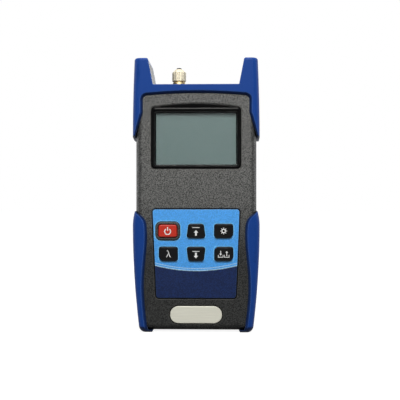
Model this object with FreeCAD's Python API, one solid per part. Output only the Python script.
"""Handheld optical power meter: grey two-part case, rubber boots, display, six keys, capped fibre port.

Millimetres. The meter stands on its lower boots: +Z runs up its length, the display faces -Y, and the
origin is on the floor under the middle.
"""
import FreeCAD, Part
import math
import os

V = FreeCAD.Vector

# ---- case and boots ----
height = 200.0              # floor to the tops of the horns
horn_rise = 19.4            # horns above the boot between them
case_half_width = 44.05
case_half_depth = 19.2
boot_wall = 2.3             # rubber thickness, all round the case
wall = 2.2                  # case wall
toe_wall = 1.6              # rubber under the case
side_low = 77.7             # the sides are straight from here
side_high_drop = 60.0       # to this far below the horns' tops
low_bow = 600.0             # radius of the gentle taper below them
high_bow = 1300.0           # and above them
corner_radius = 5.7         # lower corners of the case, seen from the front
edge_radius = 5.0           # long front and back edges of the case
boot_corner = 5.0           # the same on the boots, which are thicker there
boot_edge = 4.8
parting_y = 0.0             # plane where the two case halves meet
parting_half = 0.2          # groove round that plane
parting_depth = 0.3
horn_foot = 12.75           # from the widest case side to the gap between the horns, at its foot
horn_mouth = 8.95           # and at its mouth
horn_rounding = 1.8
boot_bevel = 2.0            # how far the boot's inner edge slopes back over its thickness

bar_top = height - horn_rise
case_top = bar_top - boot_wall
case_bottom = toe_wall
side_high = height - side_high_drop
notch_foot = case_half_width - horn_foot
notch_mouth = case_half_width - horn_mouth

arch_drop = 6.4             # edge of the top boot round the grey face, below the boot's top
arch_fall = 1.6             # from its middle to its ends
arch_corner = 3.3
leg_width = 5.35            # legs of the top boot, seen from the front
leg_bend_drop = 20.6        # where the legs start to narrow
leg_tip_out = 0.9           # beyond the widest case side
leg_foot_drop = 38.6        # where the slanting edge meets the side
leg_sag = 1.5               # lowest point of the legs, at the middle of the side

arch_crown = bar_top - arch_drop
arch_end = arch_crown - arch_fall
leg_half_gap = case_half_width - leg_width
arch_half_width = leg_half_gap - arch_corner
leg_bend = bar_top - leg_bend_drop
leg_tip_half_gap = case_half_width + leg_tip_out
leg_foot = bar_top - leg_foot_drop
leg_end = leg_foot - leg_sag

foot_shoulder = 88.3        # where the curved edge of the lower boots meets the side
foot_crown = 0.3            # their highest point above it, at the middle of the side
foot_tip_out = 0.6          # beyond the widest case side
foot_lip = 0.7              # thickness to which the sides curve in at the upper end
foot_insets = ((2.6, 86.2), (5.6, 83.9), (7.4, 80.9), (8.3, 76.0), (8.4, 66.0), (6.75, 47.0),
               (6.15, 30.0), (7.35, 13.0), (8.85, case_bottom))  # from the widest case side, and height
foot_toe_inset = 12.75      # where the rubber under the case ends, at the case
foot_toe_slope = 1.0        # and how much further out it ends on the floor

foot_top = foot_shoulder + foot_crown
foot_tip_half_gap = case_half_width + foot_tip_out
foot_toe = case_half_width - foot_toe_inset
foot_toe_floor = foot_toe + foot_toe_slope

# ---- display ----
bezel_drop = 13.9           # top of its arch below the boot's top
bezel_arch = 2.3
bezel_half_width = 32.7
bezel_height = 45.0         # below the arch
bezel_corner = 2.8
bezel_depth = 1.2           # recess in the case
bezel_gap = 0.35
frame_inset = 1.3           # raised frame on the bezel, from its sides and foot
frame_top_inset = 0.9
frame_rise = 0.9
frame_corner = 1.8
frame_rounding = 0.7
sill_width = 1.1            # slope from the frame down to the display
view_side = 2.25            # frame's width round the visible display
view_foot = 1.7
view_head = 3.7
sink_depth = 0.4            # shallow scoop round the bezel
sink_margin = 0.9
sink_sag = 1.6
view_corner = 0.6
window_lap = 1.7            # how far the window runs behind the bezel
window_corner = 1.0
window_thickness = 1.0
window_gap = 0.25
lcd_lap = 2.4
lcd_thickness = 2.8
lcd_gap = 0.6
lcd_seat = 0.2              # round the cell, in its holder
lcd_lip = 1.4               # how far the holder reaches up the cell's edge
holder_wall = 2.0
holder_floor = 1.2

bezel_crown = bar_top - bezel_drop
bezel_shoulder = bezel_crown - bezel_arch
bezel_low = bezel_shoulder - bezel_height
frame_half_width = bezel_half_width - frame_inset
frame_low = bezel_low + frame_inset
frame_high = bezel_shoulder - frame_top_inset
view_half_width = frame_half_width - view_side
view_low = frame_low + view_foot
view_high = frame_high - view_head

# ---- keypad ----
upper_row = 74.0
row_pitch = 16.7
key_pitch = 20.15
overlay_top_half = 31.65
overlay_bottom_half = 28.95
overlay_head = 15.6         # above the upper row
overlay_foot = 32.1         # below the lower row
overlay_corner = 2.0
overlay_thickness = 1.1
overlay_depth = 1.3         # recess in the case
overlay_gap = 0.8
recess_lip = 0.4            # slope round the mouths of the keypad and plate recesses
key_width = 13.4
key_narrow = 10.8           # narrow end of the two arrow keys
key_height = 9.8
key_corner = 1.6
key_big_corner = 3.2
key_rise = 1.5              # above the case face
key_gap = 0.3               # round each key, in the case
key_edge = 0.6              # rounding of the key tops
key_travel = 0.8
flange_lap = 1.1            # retaining rim behind the case wall
flange_thickness = 1.2
flange_gap = 0.2
stem_half = 2.2
power_x = -20.6
power_width = 13.2
power_height = 8.9
power_gap = 0.7
collar_width = 17.7
collar_height = 13.2
collar_corner = 4.0
collar_rise = 0.8
collar_edge = 0.5

lower_row = upper_row - row_pitch
overlay_top = upper_row + overlay_head
overlay_bottom = lower_row - overlay_foot

# ---- nameplate ----
plate_length = 37.8
plate_height = 12.4
plate_z = 13.0
plate_depth = 1.1
plate_gap = 0.55
plate_thickness = 1.7
plate_edge = 0.5

# ---- case screws ----
screw_radius = 1.45
screw_gap = 0.05
screw_head_radius = 2.7
screw_head_height = 1.8
screw_sink = 5.0            # depth of the head's pocket from the back
pocket_gap = 0.3            # round the head
pilot_floor = 1.5           # solid left at the foot of a screw hole
screw_end_gap = 1.5         # between a screw's tip and the foot of its hole
boss_radius = 3.6
upper_screw_x = 33.0
upper_screw_drop = 12.4     # below the boot's top
lower_screw_x = 31.0
lower_screw_z = 14.5

upper_screw_z = bar_top - upper_screw_drop
screw_places = ((-upper_screw_x, upper_screw_z), (upper_screw_x, upper_screw_z),
                (-lower_screw_x, lower_screw_z), (lower_screw_x, lower_screw_z))

# ---- electronics ----
board_y = -9.0              # front of the circuit board
board_thickness = 1.6
board_half_width = 37.0
board_low = 24.0
board_gap = 1.0             # under the upper screw bosses
switch_half = 3.0
switch_height = 2.5
plunger_radius = 1.7
plunger_height = 1.1
standoff_radius = 2.6
board_screw_radius = 1.1
board_screw_head = 2.0
board_screw_head_height = 1.2
board_corner = 1.5
fixing_x = 34.0
fixing_drop = 15.4          # upper board screws below the bezel
fixing_lift = 10.0          # lower board screws above the board's foot

board_high = upper_screw_z - boss_radius - board_gap
board_fixings = ((-fixing_x, bezel_low - fixing_drop), (fixing_x, bezel_low - fixing_drop),
                 (-fixing_x, board_low + fixing_lift), (fixing_x, board_low + fixing_lift))

# ---- batteries ----
cell_radius = 7.1
cell_length = 49.2
nub_radius = 2.7
nub_length = 1.0
cell_rim = 0.6
cell_gap = 0.15             # between the cells and the floor of the bay
cell_pitch = 15.2
bay_side = 1.1              # from the outer cells to the sides of the bay
bay_low = 15.5
bay_floor_y = 2.4
bay_wall = 1.4
spring_length = 3.4
spring_base = 4.6
spring_tip = 2.6
contact_thickness = 0.4
contact_height = 11.0
cover_margin = 2.6          # cover's edge beyond the sides of the bay
cover_foot = 2.9            # and below it
cover_thickness = 1.4
cover_gap = 0.3
cover_corner = 3.0
cover_lip = 1.2
cover_lip_depth = 0.7
cover_screw_lift = 8.7      # above the bay
cover_head = 4.4            # cover's edge above its screw
cover_screw_head_height = 1.4
cover_grip_lift = 8.0
cover_grip_count = 5
cover_grip_pitch = 2.6
cover_grip_radius = 0.7

bay_half_width = cell_pitch + cell_radius + bay_side
bay_high = bay_low + cell_length + nub_length + spring_length + 2 * contact_thickness
cover_half_width = bay_half_width + cover_margin
cover_low = bay_low - cover_foot
cover_screw_z = bay_high + cover_screw_lift
cover_high = cover_screw_z + cover_head
cover_grip_z = cover_low + cover_grip_lift

# ---- optical port ----
port_x = -13.3
port_flange_radius = 8.0
port_flange_height = 1.8
port_hole_gap = 0.5         # between the flange and the boot
port_shank_radius = 3.5
port_shank_gap = 0.05
port_shank_length = 6.5     # below the top of the case
port_collar_radius = 4.7
port_collar_height = 4.6    # above the flange
port_barrel_radius = 3.9
port_barrel_length = 6.4    # above the collar
port_sleeve_radius = 1.75
port_sleeve_gap = 0.02
ferrule_radius = 1.25
ferrule_depth = 12.0
sleeve_setback = 0.4        # below the end of the barrel
sleeve_lead = 0.3
turned_edge = 0.4           # chamfers of the turned pieces
nut_half_flats = 5.5
nut_height = 2.4
cap_radius = 5.2
cap_gap = 0.08              # round the barrel
cap_foot_gap = 0.5          # above the collar
cap_roof_gap = 0.6          # above the barrel
cap_roof = 1.7              # under the tip
cap_slope = 2.5             # height of the sloping shoulder
cap_top_radius = 2.5
flute_count = 16
flute_radius = 0.75
flute_depth = 0.25
flute_start = 1.0           # plain band below the flutes
tip_radius = 1.9
tip_height = 1.0
tip_sink = 1.0
tip_gap = 0.02
detector_radius = 2.7
detector_height = 4.2
detector_brim = 0.6
lead_radius = 0.25
lead_length = 3.0
lead_offset = 1.2

port_collar_top = case_top + port_flange_height + port_collar_height
port_barrel_top = port_collar_top + port_barrel_length
cap_bottom = port_collar_top + cap_foot_gap
cap_inner_top = port_barrel_top + cap_roof_gap
tip_floor = cap_inner_top + cap_roof
cap_top = tip_floor + tip_sink
cap_shoulder = cap_top - cap_slope

face_y = -case_half_depth
back_y = case_half_depth
inner_y = face_y + wall
boot_half_depth = case_half_depth + boot_wall
far = 2 * height            # larger than the meter, for cutting blocks
past = 1.0                  # how far a cut runs past a face


def line(a, b, y=0.0):
    """Straight edge between two (x, z) points in the plane y."""
    return Part.LineSegment(V(a[0], y, a[1]), V(b[0], y, b[1])).toShape()


def arc(a, middle, b, y=0.0):
    """Arc through three (x, z) points in the plane y."""
    return Part.Arc(V(a[0], y, a[1]), V(middle[0], y, middle[1]), V(b[0], y, b[1])).toShape()


def polar(centre, radius, angle):
    """The (x, z) point at an angle on a circle."""
    return (centre[0] + radius * math.cos(angle), centre[1] + radius * math.sin(angle))


def arc_about(centre, radius, start, end):
    """Arc on a circle between two angles, in the plane y = 0."""
    return arc(polar(centre, radius, start), polar(centre, radius, (start + end) / 2),
               polar(centre, radius, end))


def rounded(corners, y=0.0):
    """Closed wire in the plane y through (x, z, corner radius) corners."""
    bends = []
    for i, (x, z, radius) in enumerate(corners):
        here = V(x, y, z)
        last = V(corners[i - 1][0], y, corners[i - 1][1]) - here
        following = corners[(i + 1) % len(corners)]
        ahead = V(following[0], y, following[1]) - here
        last.normalize()
        ahead.normalize()
        half = last.getAngle(ahead) / 2
        inward = last + ahead
        inward.normalize()
        reach = radius / math.tan(half)
        crown = here + inward * (radius / math.sin(half) - radius)
        bends.append((here + last * reach, crown, here + ahead * reach))
    edges = []
    for i, (start, crown, end) in enumerate(bends):
        edges.append(Part.Arc(start, crown, end).toShape())
        edges.append(Part.LineSegment(end, bends[(i + 1) % len(bends)][0]).toShape())
    return Part.Wire(edges)


def rectangle(x0, x1, z0, z1, radius, y=0.0):
    """Rounded rectangle in the plane y."""
    return rounded(((x0, z0, radius), (x1, z0, radius), (x1, z1, radius), (x0, z1, radius)), y)


def prism(wire, y0, y1):
    """Solid between two planes y from a closed wire drawn in the plane y = 0."""
    face = Part.Face(wire)
    face.translate(V(0, y0, 0))
    return face.extrude(V(0, y1 - y0, 0))


def grown(wire, amount):
    """The same outline, moved outward by an amount."""
    return wire.makeOffset2D(amount)


def block(x0, x1, y0, y1, z0, z1):
    """Box between two corners."""
    return Part.makeBox(x1 - x0, y1 - y0, z1 - z0, V(x0, y0, z0))


def rod(radius, x, z, y0, y1):
    """Cylinder along Y."""
    return Part.makeCylinder(radius, y1 - y0, V(x, y0, z), V(0, 1, 0))


def post(radius, x, y, z0, z1):
    """Cylinder along Z."""
    return Part.makeCylinder(radius, z1 - z0, V(x, y, z0))


def mirrored(shape):
    """The shape on the other side of the middle."""
    return shape.mirror(V(0, 0, 0), V(1, 0, 0))


def from_back(shape):
    """The same cut seen from the back."""
    return shape.mirror(V(0, 0, 0), V(0, 1, 0))


def joined(shapes):
    """One shape from several that meet."""
    first = shapes[0]
    return first.fuse(shapes[1:]).removeSplitter()


def edges_in_plane(shape, y):
    """Edges that lie in the plane y."""
    return [edge for edge in shape.Edges
            if abs(edge.BoundBox.YMin - y) < 0.01 and abs(edge.BoundBox.YMax - y) < 0.01]


def case_side(grow):
    """Right side above the lower taper, a distance outside the case's, and its highest point."""
    centre = (case_half_width - high_bow, side_high)
    lean = math.asin((height - boot_wall + grow - side_high) / (high_bow + grow))
    side = case_half_width + grow
    edges = [arc_about(centre, high_bow + grow, lean, 0), line((side, side_high), (side, side_low))]
    return edges, polar(centre, high_bow + grow, lean)


def foot_side(grow):
    """The same on the lower boots, where it curves in to a thin upper edge."""
    thinning = boot_wall - foot_lip
    rise = foot_top - side_low
    radius = (rise ** 2 / thinning + thinning) / 2
    centre = (case_half_width + grow - radius, side_low)
    lean = math.asin((rise + past) / radius)
    return [arc_about(centre, radius, lean, 0)], polar(centre, radius, lean)


def envelope(side, grow, low, corner, edge):
    """Body with the given sides, a distance outside the case's, on its own foot, corners and edges."""
    low_centre = case_half_width - low_bow
    corner_z = low + corner
    corner_x = low_centre + math.sqrt((low_bow + grow - corner) ** 2 - (side_low - corner_z) ** 2)
    blend = math.atan2(corner_z - side_low, corner_x - low_centre)
    upper, (top_x, top) = side(grow)
    right = upper + [arc_about((low_centre, side_low), low_bow + grow, 0, blend),
                     arc_about((corner_x, corner_z), corner, blend, -math.pi / 2)]
    ends = [line((corner_x, low), (-corner_x, low)), line((-top_x, top), (top_x, top))]
    edges = right + [mirrored(edge) for edge in right] + ends
    wire = Part.Wire(Part.__sortEdges__(edges))
    depth = case_half_depth + grow
    body = prism(wire, -depth, depth)
    long_edges = [edge for edge in edges_in_plane(body, -depth) + edges_in_plane(body, depth)
                  if edge.BoundBox.ZMin < top - 0.01]
    return body.makeFillet(edge, long_edges)


def case_body(inset):
    """The case's outer form, or one that lies evenly inside it."""
    return envelope(case_side, -inset, case_bottom + inset, corner_radius - inset, edge_radius - inset)


def notch(floor):
    """The tapered gap between the horns, above a floor."""
    slope = (notch_mouth - notch_foot) / (height - bar_top)
    top = height + 1.0
    low_x = notch_foot + (floor - bar_top) * slope
    high_x = notch_foot + (top - bar_top) * slope
    outline = Part.makePolygon([V(-low_x, 0, floor), V(low_x, 0, floor), V(high_x, 0, top),
                                V(-high_x, 0, top), V(-low_x, 0, floor)])
    return prism(outline, -far, far)


def case_form():
    """Outer form of both case halves, with the two ears that the horns cover."""
    return case_body(0.0).cut(notch(case_top))


def boot_form(case):
    """Rubber round the case, before the top boot is cut out of it."""
    outside = envelope(case_side, boot_wall, 0.0, boot_corner, boot_edge).cut(notch(bar_top))
    crown = [edge for edge in outside.Edges if edge.BoundBox.ZMin > height - 0.01]
    return outside.makeFillet(horn_rounding, crown).cut(case)


def foot_form(case):
    """Rubber round the lower part of the case, before it is cut into the two lower boots."""
    return envelope(foot_side, boot_wall, 0.0, boot_corner, boot_edge).cut(case)


def top_window(grow, y):
    """Edge of the top boot round the grey face, with everything below it."""
    side = leg_half_gap + grow
    shoulder = (arch_half_width, arch_end + grow)
    drop = leg_half_gap - arch_half_width
    corner_middle = polar((arch_half_width, arch_end - drop), drop + grow, math.pi / 4)
    right = [arc(shoulder, corner_middle, (side, arch_end - drop), y),
             line((side, arch_end - drop), (side, leg_bend), y),
             line((side, leg_bend), (leg_tip_half_gap + grow, leg_foot), y),
             line((leg_tip_half_gap + grow, leg_foot), (far, leg_foot), y),
             line((far, leg_foot), (far, 0), y)]
    crown = arc((-shoulder[0], shoulder[1]), (0, arch_crown + grow), shoulder, y)
    edges = right + [mirrored(edge) for edge in right] + [crown, line((-far, 0), (far, 0), y)]
    return Part.Wire(Part.__sortEdges__(edges))


def foot_window(grow, y):
    """Edge of the lower boots round the grey face, with everything above them."""
    points = [V(foot_tip_half_gap + grow, y, foot_shoulder)]
    points += [V(case_half_width - inset + grow, y, z) for inset, z in foot_insets]
    curve = Part.BSplineCurve()
    curve.interpolate(points)
    last = (case_half_width - foot_insets[-1][0], foot_insets[-1][1])
    right = [curve.toShape(), line((foot_tip_half_gap + grow, foot_shoulder), (far, foot_shoulder), y),
             line((far, foot_shoulder), (far, far), y)]
    edges = right + [mirrored(edge) for edge in right]
    edges += [line((-last[0] - grow, last[1]), (last[0] + grow, last[1]), y),
              line((-far, far), (far, far), y)]
    return Part.Wire(Part.__sortEdges__(edges))


def window_cut(outline):
    """Opening through the front and back of a boot, sloping wider outward."""
    outer_y = -boot_half_depth - past
    outer_grow = boot_bevel * (boot_wall + past) / boot_wall
    slope = Part.makeLoft([outline(0.0, face_y), outline(outer_grow, outer_y)], True)
    flat_side = face_y + edge_radius
    through = prism(outline(0.0, 0.0), face_y, flat_side)
    front = slope.fuse(through)
    return front, from_back(front)


def end_disc(tip_z, shoulder_z):
    """Disc along X whose rim is the shallow arc in which a boot ends on the side of the meter."""
    flat = case_half_depth - edge_radius
    drop = shoulder_z - tip_z
    radius = (flat ** 2 + drop ** 2) / (2 * drop)
    return Part.makeCylinder(abs(radius), 2 * far, V(-far, 0, tip_z + radius), V(1, 0, 0))


def top_boot(rubber):
    """Rubber boot over the top end, with its two horns and the hole for the port."""
    upper = rubber.common(block(-far, far, -far, far, leg_end, far))
    upper = upper.common(end_disc(leg_end, leg_foot))
    for cut in window_cut(top_window):
        upper = upper.cut(cut)
    hole = post(port_flange_radius + port_hole_gap, port_x, 0, case_top - past, bar_top + past)
    return upper.cut(hole)


def right_boot(rubber):
    """Rubber boot round the lower right corner; its toe is what the meter stands on."""
    toe = Part.makePolygon([V(foot_toe_floor, 0, -1), V(far, 0, -1), V(far, 0, foot_top),
                            V(foot_toe, 0, foot_top), V(foot_toe, 0, case_bottom),
                            V(foot_toe_floor, 0, 0), V(foot_toe_floor, 0, -1)])
    lower = rubber.common(prism(toe, -far, far)).common(end_disc(foot_top, foot_shoulder))
    for cut in window_cut(foot_window):
        lower = lower.cut(cut)
    return lower


def capsule(length, tall, z):
    """Outline with half-round ends, centred at height z."""
    return rectangle(-length / 2, length / 2, z - tall / 2, z + tall / 2, tall / 2 - 0.01)


def bezel_outline(grow, sag=0.0):
    """Outline of the display bezel: arched top, rounded corners, and a sagging foot if asked for."""
    side = bezel_half_width + grow
    r = bezel_corner + grow
    low = bezel_low - grow
    shoulder = bezel_shoulder + grow
    flat = side - r
    k = r * math.sqrt(0.5)
    right = [arc((flat, shoulder), (flat + k, shoulder - r + k), (side, shoulder - r)),
             line((side, shoulder - r), (side, low + r)),
             arc((side, low + r), (flat + k, low + r - k), (flat, low))]
    crown = arc((-flat, shoulder), (0, bezel_crown + grow), (flat, shoulder))
    foot = arc((-flat, low), (0, low - sag), (flat, low)) if sag else line((-flat, low), (flat, low))
    edges = right + [mirrored(edge) for edge in right] + [crown, foot]
    return Part.Wire(Part.__sortEdges__(edges))


def overlay_outline():
    """Outline of the keypad faceplate, narrower at its foot."""
    return rounded(((-overlay_bottom_half, overlay_bottom, overlay_corner),
                    (overlay_bottom_half, overlay_bottom, overlay_corner),
                    (overlay_top_half, overlay_top, overlay_corner),
                    (-overlay_top_half, overlay_top, overlay_corner)))


def key_outline(x, z, top, bottom, radii):
    """Four-sided key outline; radii run from the lower left corner, anticlockwise."""
    half = key_height / 2
    return rounded(((x - bottom / 2, z - half, radii[0]), (x + bottom / 2, z - half, radii[1]),
                    (x + top / 2, z + half, radii[2]), (x - top / 2, z + half, radii[3])))


def key_outlines():
    """Outline and centre of every key, by name."""
    small, big = key_corner, key_big_corner
    left, right = -key_pitch, key_pitch
    half_power = (power_width / 2, power_height / 2)
    return {
        "power_key": (rectangle(power_x - half_power[0], power_x + half_power[0],
                                upper_row - half_power[1], upper_row + half_power[1], small),
                      power_x, upper_row),
        "up_key": (key_outline(0, upper_row, key_narrow, key_width, (small,) * 4), 0, upper_row),
        "lamp_key": (key_outline(right, upper_row, key_width, key_width, (small, big, small, small)),
                     right, upper_row),
        "wavelength_key": (key_outline(left, lower_row, key_width, key_width, (big, small, small, small)),
                           left, lower_row),
        "down_key": (key_outline(0, lower_row, key_width, key_narrow, (small,) * 4), 0, lower_row),
        "memory_key": (key_outline(right, lower_row, key_width, key_width, (small, big, small, big)),
                       right, lower_row),
    }


def key(outline, x, z):
    """Key with a rounded top, a rim behind the case wall and a stem towards its switch."""
    top_y = face_y - key_rise
    rim_y = inner_y + flange_gap
    cap = prism(outline, top_y, rim_y)
    cap = cap.makeFillet(key_edge, edges_in_plane(cap, top_y))
    rim = prism(grown(outline, flange_lap), rim_y, rim_y + flange_thickness)
    stem_end = board_y - switch_height - plunger_height - key_travel - flange_gap
    stem = block(x - stem_half, x + stem_half, rim_y + flange_thickness, stem_end,
                 z - stem_half, z + stem_half)
    return joined([cap, rim, stem])


def collar_outline():
    """Outer edge of the moulded collar round the power key."""
    return rectangle(power_x - collar_width / 2, power_x + collar_width / 2,
                     upper_row - collar_height / 2, upper_row + collar_height / 2, collar_corner)


def window_outline():
    """Edge of the clear window behind the bezel."""
    return rectangle(-view_half_width - window_lap, view_half_width + window_lap,
                     view_low - window_lap, view_high + window_lap, window_corner)


def recess(outline, floor_y):
    """Recess in the face of the case with a sloping lip round its mouth."""
    foot = outline.copy()
    foot.translate(V(0, face_y + recess_lip, 0))
    mouth = grown(outline, recess_lip)
    mouth.translate(V(0, face_y, 0))
    lip = Part.makeLoft([foot, mouth], True)
    return prism(outline, face_y - past, floor_y).fuse(lip)


def hollow_case():
    """The whole case with its cavity, before it is parted."""
    cavity = case_body(wall).common(block(-far, far, -far, far, 0, case_top - wall))
    shell = case_form().cut(cavity).cut(parting_groove())
    return shell.cut(post(port_shank_radius + port_shank_gap, port_x, 0, case_top - 2 * wall,
                          case_top + past))


def parting_groove():
    """Shallow groove round the outside of the case where its halves meet."""
    band = block(-far, far, parting_y - parting_half, parting_y + parting_half, -far, far)
    return band.cut(case_body(parting_depth))


def half_of(shell, front):
    """One side of the parting plane."""
    if front:
        return shell.common(block(-far, far, -far, parting_y, -far, far))
    return shell.common(block(-far, far, parting_y, far, -far, far))


def front_case(shell, keys):
    """Front moulding: display recess, keypad recess and holes, collar, nameplate recess, bosses."""
    body = half_of(shell, True)
    root_y = inner_y - wall / 2
    bosses = [rod(boss_radius, x, z, root_y, parting_y) for x, z in screw_places]
    bosses += [rod(standoff_radius, x, z, root_y, board_y) for x, z in board_fixings]
    body = joined([body] + bosses)
    collar_top = face_y - collar_rise
    recess_floor = face_y + overlay_depth
    cuts = [prism(bezel_outline(sink_margin, sink_sag), face_y - past, face_y + sink_depth),
            prism(bezel_outline(bezel_gap), face_y - past, face_y + bezel_depth),
            prism(grown(window_outline(), window_gap), face_y - past, inner_y + past),
            recess(grown(overlay_outline(), overlay_gap), recess_floor),
            recess(grown(capsule(plate_length, plate_height, plate_z), plate_gap), face_y + plate_depth)]
    for cut in cuts:
        body = body.cut(cut)
    collar = prism(collar_outline(), collar_top, recess_floor)
    collar = collar.makeFillet(collar_edge, edges_in_plane(collar, collar_top))
    body = joined([body, collar])
    for name, (outline, x, z) in keys.items():
        gap = power_gap if name == "power_key" else key_gap
        body = body.cut(prism(grown(outline, gap), collar_top - past, inner_y + past))
    for x, z in screw_places:
        body = body.cut(rod(screw_radius + screw_gap, x, z, inner_y + pilot_floor, parting_y + past))
    for x, z in board_fixings:
        body = body.cut(rod(board_screw_radius + screw_gap, x, z, inner_y + pilot_floor, board_y + past))
    return body


def cover_outline():
    """Outline of the battery cover."""
    return rectangle(-cover_half_width, cover_half_width, cover_low, cover_high, cover_corner)


def mouth_block(gap, y0, y1):
    """The bay's mouth, made smaller by a gap."""
    return block(-bay_half_width + gap, bay_half_width - gap, y0, y1, bay_low + gap, bay_high - gap)


def rear_case(shell):
    """Back moulding: battery bay with its ledge, and the sunk bosses for the screws."""
    body = half_of(shell, False)
    root_y = back_y - wall / 2
    tray = block(-bay_half_width - bay_wall, bay_half_width + bay_wall, bay_floor_y - bay_wall,
                 root_y, bay_low - bay_wall, bay_high + bay_wall)
    bosses = [rod(boss_radius, x, z, parting_y, root_y) for x, z in screw_places]
    bosses.append(rod(boss_radius, 0, cover_screw_z, bay_floor_y, root_y))
    body = joined([body, tray] + bosses)
    body = body.cut(mouth_block(0.0, bay_floor_y, back_y + past))
    body = body.cut(prism(grown(cover_outline(), cover_gap), back_y - cover_thickness, back_y + past))
    for x, z in screw_places:
        body = body.cut(rod(screw_radius + screw_gap, x, z, parting_y - past, back_y + past))
        body = body.cut(rod(screw_head_radius + pocket_gap, x, z, back_y - screw_sink, back_y + past))
    return body.cut(rod(screw_radius + screw_gap, 0, cover_screw_z, bay_floor_y + pilot_floor, back_y + past))


def pan_screw(x, z, head_y, tip_y, radius, head_radius, head_height):
    """Screw along Y with its head towards the back and a cross in it."""
    head = rod(head_radius, x, z, head_y, head_y + head_height)
    top = head_y + head_height
    head = head.makeFillet(head_height * 0.4, edges_in_plane(head, top))
    arm = head_radius * 0.6
    slot = radius * 0.35
    depth = head_height * 0.55
    cross = block(x - arm, x + arm, top - depth, top + 1, z - slot, z + slot)
    cross = cross.fuse(block(x - slot, x + slot, top - depth, top + 1, z - arm, z + arm))
    return joined([head.cut(cross), rod(radius, x, z, tip_y, head_y)])


def case_screws():
    """Four screws that close the case from the back."""
    tip_y = inner_y + pilot_floor + screw_end_gap
    return Part.makeCompound([pan_screw(x, z, back_y - screw_sink, tip_y, screw_radius,
                                        screw_head_radius, screw_head_height)
                              for x, z in screw_places])


def board_screws():
    """Screws that hold the board on its standoffs."""
    tip_y = inner_y + pilot_floor + screw_end_gap
    return Part.makeCompound([pan_screw(x, z, board_y + board_thickness, tip_y, board_screw_radius,
                                        board_screw_head, board_screw_head_height)
                              for x, z in board_fixings])


def battery_cover():
    """Back cover over the bay, with a lip in the bay's mouth, grip ribs and a screw hole."""
    plate = prism(cover_outline(), back_y - cover_thickness, back_y)
    lip_y = back_y - cover_thickness - cover_lip_depth
    lip = mouth_block(cover_gap, lip_y, back_y - cover_thickness)
    hollow = mouth_block(cover_gap + cover_lip, lip_y - past, back_y - cover_thickness)
    cover = joined([plate, lip.cut(hollow)])
    for i in range(cover_grip_count):
        z = cover_grip_z + (i - (cover_grip_count - 1) / 2) * cover_grip_pitch
        groove = Part.makeCylinder(cover_grip_radius, cover_half_width, V(-cover_half_width / 2, back_y, z),
                                   V(1, 0, 0))
        cover = cover.cut(groove)
    return cover.cut(rod(screw_radius + screw_gap, 0, cover_screw_z, back_y - far, back_y + past))


def cover_screw():
    """Captive screw of the battery cover."""
    tip_y = bay_floor_y + pilot_floor + screw_end_gap
    return pan_screw(0, cover_screw_z, back_y, tip_y, screw_radius, screw_head_radius,
                     cover_screw_head_height)


def cell(x, upward):
    """AA cell standing in the bay, with its positive end up or down."""
    y = bay_floor_y + cell_radius + cell_gap
    nub = nub_length + contact_thickness
    low = bay_low + (contact_thickness + spring_length if upward else nub)
    body = post(cell_radius, x, y, low, low + cell_length)
    rims = [edge for edge in body.Edges if edge.Curve.TypeId == "Part::GeomCircle"]
    body = body.makeFillet(cell_rim, rims)
    if upward:
        return joined([body, post(nub_radius, x, y, low + cell_length, low + cell_length + nub_length)])
    return joined([body, post(nub_radius, x, y, low - nub_length, low)])


def battery_contacts():
    """Plated strips at both ends of the bay, each with its conical springs."""
    y = bay_floor_y + cell_radius + cell_gap
    half = contact_height / 2
    low, high = bay_low, bay_high
    pieces = []
    for i, x in enumerate((-cell_pitch, 0.0, cell_pitch)):
        for at_top in (False, True):
            z0 = high - contact_thickness if at_top else low
            plate = block(x - half, x + half, y - half, y + half, z0, z0 + contact_thickness)
            springy = at_top == (i == 1)
            if springy and at_top:
                plate = joined([plate, Part.makeCone(spring_tip, spring_base, spring_length,
                                                     V(x, y, z0 - spring_length))])
            elif springy:
                plate = joined([plate, Part.makeCone(spring_base, spring_tip, spring_length,
                                                     V(x, y, z0 + contact_thickness))])
            pieces.append(plate)
    return Part.makeCompound(pieces)


def view_outline(grow, y):
    """Edge of the visible display, in the plane y."""
    return rectangle(-view_half_width - grow, view_half_width + grow, view_low - grow, view_high + grow,
                     view_corner + grow, y)


def display_bezel():
    """Gloss frame: arched plate with a raised frame round the sloping display opening."""
    floor_y = face_y + bezel_depth
    plate_y = face_y + sink_depth / 2
    plate = prism(bezel_outline(0.0), plate_y, floor_y)
    frame_y = plate_y - frame_rise
    frame = prism(rectangle(-frame_half_width, frame_half_width, frame_low, frame_high, frame_corner),
                  frame_y, floor_y)
    body = joined([plate, frame])
    body = body.makeFillet(frame_rounding, edges_in_plane(body, frame_y))
    slope = Part.makeLoft([view_outline(0.0, floor_y), view_outline(sill_width, frame_y)], True)
    return body.cut(slope)


def display_window():
    """Clear window in the case opening, behind the bezel."""
    front = face_y + bezel_depth
    return prism(window_outline(), front, front + window_thickness)


def lcd_wire():
    """Edge of the display cell."""
    return rectangle(-view_half_width - lcd_lap, view_half_width + lcd_lap, view_low - lcd_lap,
                     view_high + lcd_lap, view_corner)


def lcd_glass():
    """Liquid-crystal cell behind the window."""
    front = inner_y + lcd_gap
    return prism(lcd_wire(), front, front + lcd_thickness)


def lcd_holder():
    """Frame that carries the display cell on the board."""
    glass_back = inner_y + lcd_gap + lcd_thickness
    body = prism(grown(lcd_wire(), holder_wall), glass_back - lcd_lip, board_y)
    body = body.cut(prism(grown(lcd_wire(), lcd_seat), glass_back - far, glass_back))
    return body.cut(prism(grown(lcd_wire(), -holder_wall), glass_back - past, board_y - holder_floor))


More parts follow.
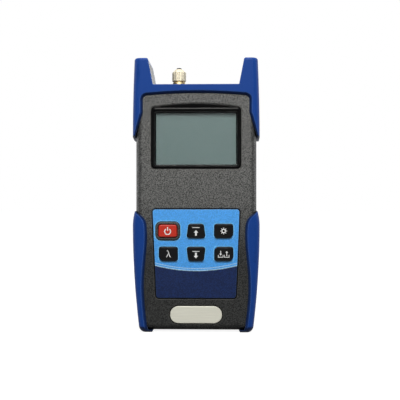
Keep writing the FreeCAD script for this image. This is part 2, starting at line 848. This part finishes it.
def main_board():
    """Circuit board, with holes for its screws."""
    board = prism(rectangle(-board_half_width, board_half_width, board_low, board_high, board_corner),
                  board_y, board_y + board_thickness)
    back = board_y + board_thickness + past
    for x, z in board_fixings:
        board = board.cut(rod(board_screw_radius + screw_gap, x, z, board_y - past, back))
    return board


def key_switches(keys):
    """One push switch on the board behind each key."""
    switches = []
    for outline, x, z in keys.values():
        top = board_y - switch_height
        body = block(x - switch_half, x + switch_half, top, board_y, z - switch_half, z + switch_half)
        switches.append(joined([body, rod(plunger_radius, x, z, top - plunger_height, top)]))
    return Part.makeCompound(switches)


def keypad_overlay(keys):
    """Thin faceplate round the keys and the collar."""
    floor_y = face_y + overlay_depth
    plate = prism(overlay_outline(), floor_y - overlay_thickness, floor_y)
    for name, (outline, x, z) in keys.items():
        hole = collar_outline() if name == "power_key" else outline
        plate = plate.cut(prism(grown(hole, key_gap), face_y - past, floor_y + past))
    return plate


def nameplate():
    """Plain domed capsule plate."""
    floor_y = face_y + plate_depth
    plate = prism(capsule(plate_length, plate_height, plate_z), floor_y - plate_thickness, floor_y)
    return plate.makeFillet(plate_edge, edges_in_plane(plate, floor_y - plate_thickness))


def turned(profile, x, y):
    """Solid of revolution about a vertical axis, from (radius, z) points."""
    points = [V(x + r, y, z) for r, z in profile]
    face = Part.Face(Part.makePolygon(points + points[:1]))
    return face.revolve(V(x, y, 0), V(0, 0, 1), 360)


def port_flange():
    """Round flange under the port's collar, on top of the case."""
    top = case_top + port_flange_height
    hole = port_shank_radius + port_shank_gap
    return turned([(hole, case_top), (port_flange_radius, case_top),
                   (port_flange_radius, top - turned_edge), (port_flange_radius - turned_edge, top),
                   (hole, top)],
                  port_x, 0)


def port_barrel():
    """Turned barrel of the port: shank through the case, collar, and the barrel that the cap covers."""
    seat = case_top + port_flange_height
    bore = port_sleeve_radius + port_sleeve_gap
    bottom = case_top - port_shank_length
    return turned([(bore, bottom), (port_shank_radius, bottom), (port_shank_radius, seat),
                   (port_collar_radius, seat), (port_collar_radius, port_collar_top - turned_edge),
                   (port_collar_radius - turned_edge, port_collar_top),
                   (port_barrel_radius, port_collar_top),
                   (port_barrel_radius, port_barrel_top - turned_edge),
                   (port_barrel_radius - turned_edge, port_barrel_top), (bore, port_barrel_top)],
                  port_x, 0)


def port_sleeve():
    """Alignment sleeve that guides the connector's ferrule."""
    top = port_barrel_top - sleeve_setback
    return turned([(ferrule_radius, top - ferrule_depth), (port_sleeve_radius, top - ferrule_depth),
                   (port_sleeve_radius, top), (ferrule_radius + sleeve_lead, top),
                   (ferrule_radius, top - sleeve_lead)], port_x, 0)


def port_nut():
    """Hexagon nut that holds the barrel from inside the case."""
    top = case_top - wall
    across = nut_half_flats / math.cos(math.pi / 6)
    points = [V(port_x + across * math.cos(math.pi / 3 * i), across * math.sin(math.pi / 3 * i),
                top - nut_height) for i in range(7)]
    body = Part.Face(Part.makePolygon(points)).extrude(V(0, 0, nut_height))
    return body.cut(post(port_shank_radius + port_shank_gap, port_x, 0, top - far, top + past))


def detector():
    """Photodiode in its can, pressed up to the foot of the barrel, with two leads."""
    top = case_top - port_shank_length
    foot = top - detector_height
    can = post(detector_radius, port_x, 0, foot, top)
    brim = post(detector_radius + detector_brim, port_x, 0, foot, foot + detector_brim)
    leads = [post(lead_radius, port_x + side, 0, foot - lead_length, foot)
             for side in (-lead_offset, lead_offset)]
    return joined([can, brim] + leads)


def dust_cap():
    """Metal dust cap: fluted sides, sloping shoulder and a blind bore for the barrel."""
    bore = port_barrel_radius + cap_gap
    tip_hole = tip_radius + tip_gap
    cap = turned([(bore, cap_bottom), (cap_radius - turned_edge, cap_bottom),
                  (cap_radius, cap_bottom + turned_edge), (cap_radius, cap_shoulder),
                  (cap_top_radius + turned_edge, cap_top - turned_edge), (cap_top_radius, cap_top),
                  (tip_hole, cap_top), (tip_hole, tip_floor), (0, tip_floor),
                  (0, cap_inner_top), (bore, cap_inner_top)],
                 port_x, 0)
    reach = cap_radius + flute_radius - flute_depth
    for i in range(flute_count):
        turn = 2 * math.pi * (i + 0.5) / flute_count
        cap = cap.cut(post(flute_radius, port_x + reach * math.cos(turn), reach * math.sin(turn),
                           cap_bottom + flute_start, cap_top + past))
    return cap


def cap_tip():
    """Black plastic tip set in the top of the cap."""
    top = cap_top + tip_height
    return turned([(0, tip_floor), (tip_radius, tip_floor), (tip_radius, top - turned_edge),
                   (tip_radius - turned_edge, top), (0, top)], port_x, 0)


def build():
    """Every sub-part, by node name."""
    keys = key_outlines()
    shell = hollow_case()
    case = case_form()
    right = right_boot(foot_form(case))
    parts = {
        "front_case": front_case(shell, keys),
        "rear_case": rear_case(shell),
        "top_boot": top_boot(boot_form(case)),
        "right_boot": right,
        "left_boot": mirrored(right),
        "display_bezel": display_bezel(),
        "display_window": display_window(),
        "lcd_glass": lcd_glass(),
        "lcd_holder": lcd_holder(),
        "keypad_overlay": keypad_overlay(keys),
        "nameplate": nameplate(),
        "main_board": main_board(),
        "key_switches": key_switches(keys),
        "board_screws": board_screws(),
        "case_screws": case_screws(),
        "battery_cover": battery_cover(),
        "cover_screw": cover_screw(),
        "battery_contacts": battery_contacts(),
        "port_flange": port_flange(),
        "port_barrel": port_barrel(),
        "port_sleeve": port_sleeve(),
        "port_nut": port_nut(),
        "detector": detector(),
        "dust_cap": dust_cap(),
        "cap_tip": cap_tip(),
    }
    for name, (outline, x, z) in keys.items():
        parts[name] = key(outline, x, z)
    for i, name in enumerate(("battery_left", "battery_middle", "battery_right")):
        parts[name] = cell((i - 1) * cell_pitch, i != 1)
    return parts


os.makedirs("parts", exist_ok=True)
for name, shape in build().items():
    shape.exportStep("parts/" + name + ".step")
    box = shape.BoundBox
    print(f"{name:18s} solids {len(shape.Solids)} valid {shape.isValid()} volume {shape.Volume:10.1f}"
          f"  x {box.XMin:.1f} {box.XMax:.1f}  y {box.YMin:.1f} {box.YMax:.1f}"
          f"  z {box.ZMin:.1f} {box.ZMax:.1f}")
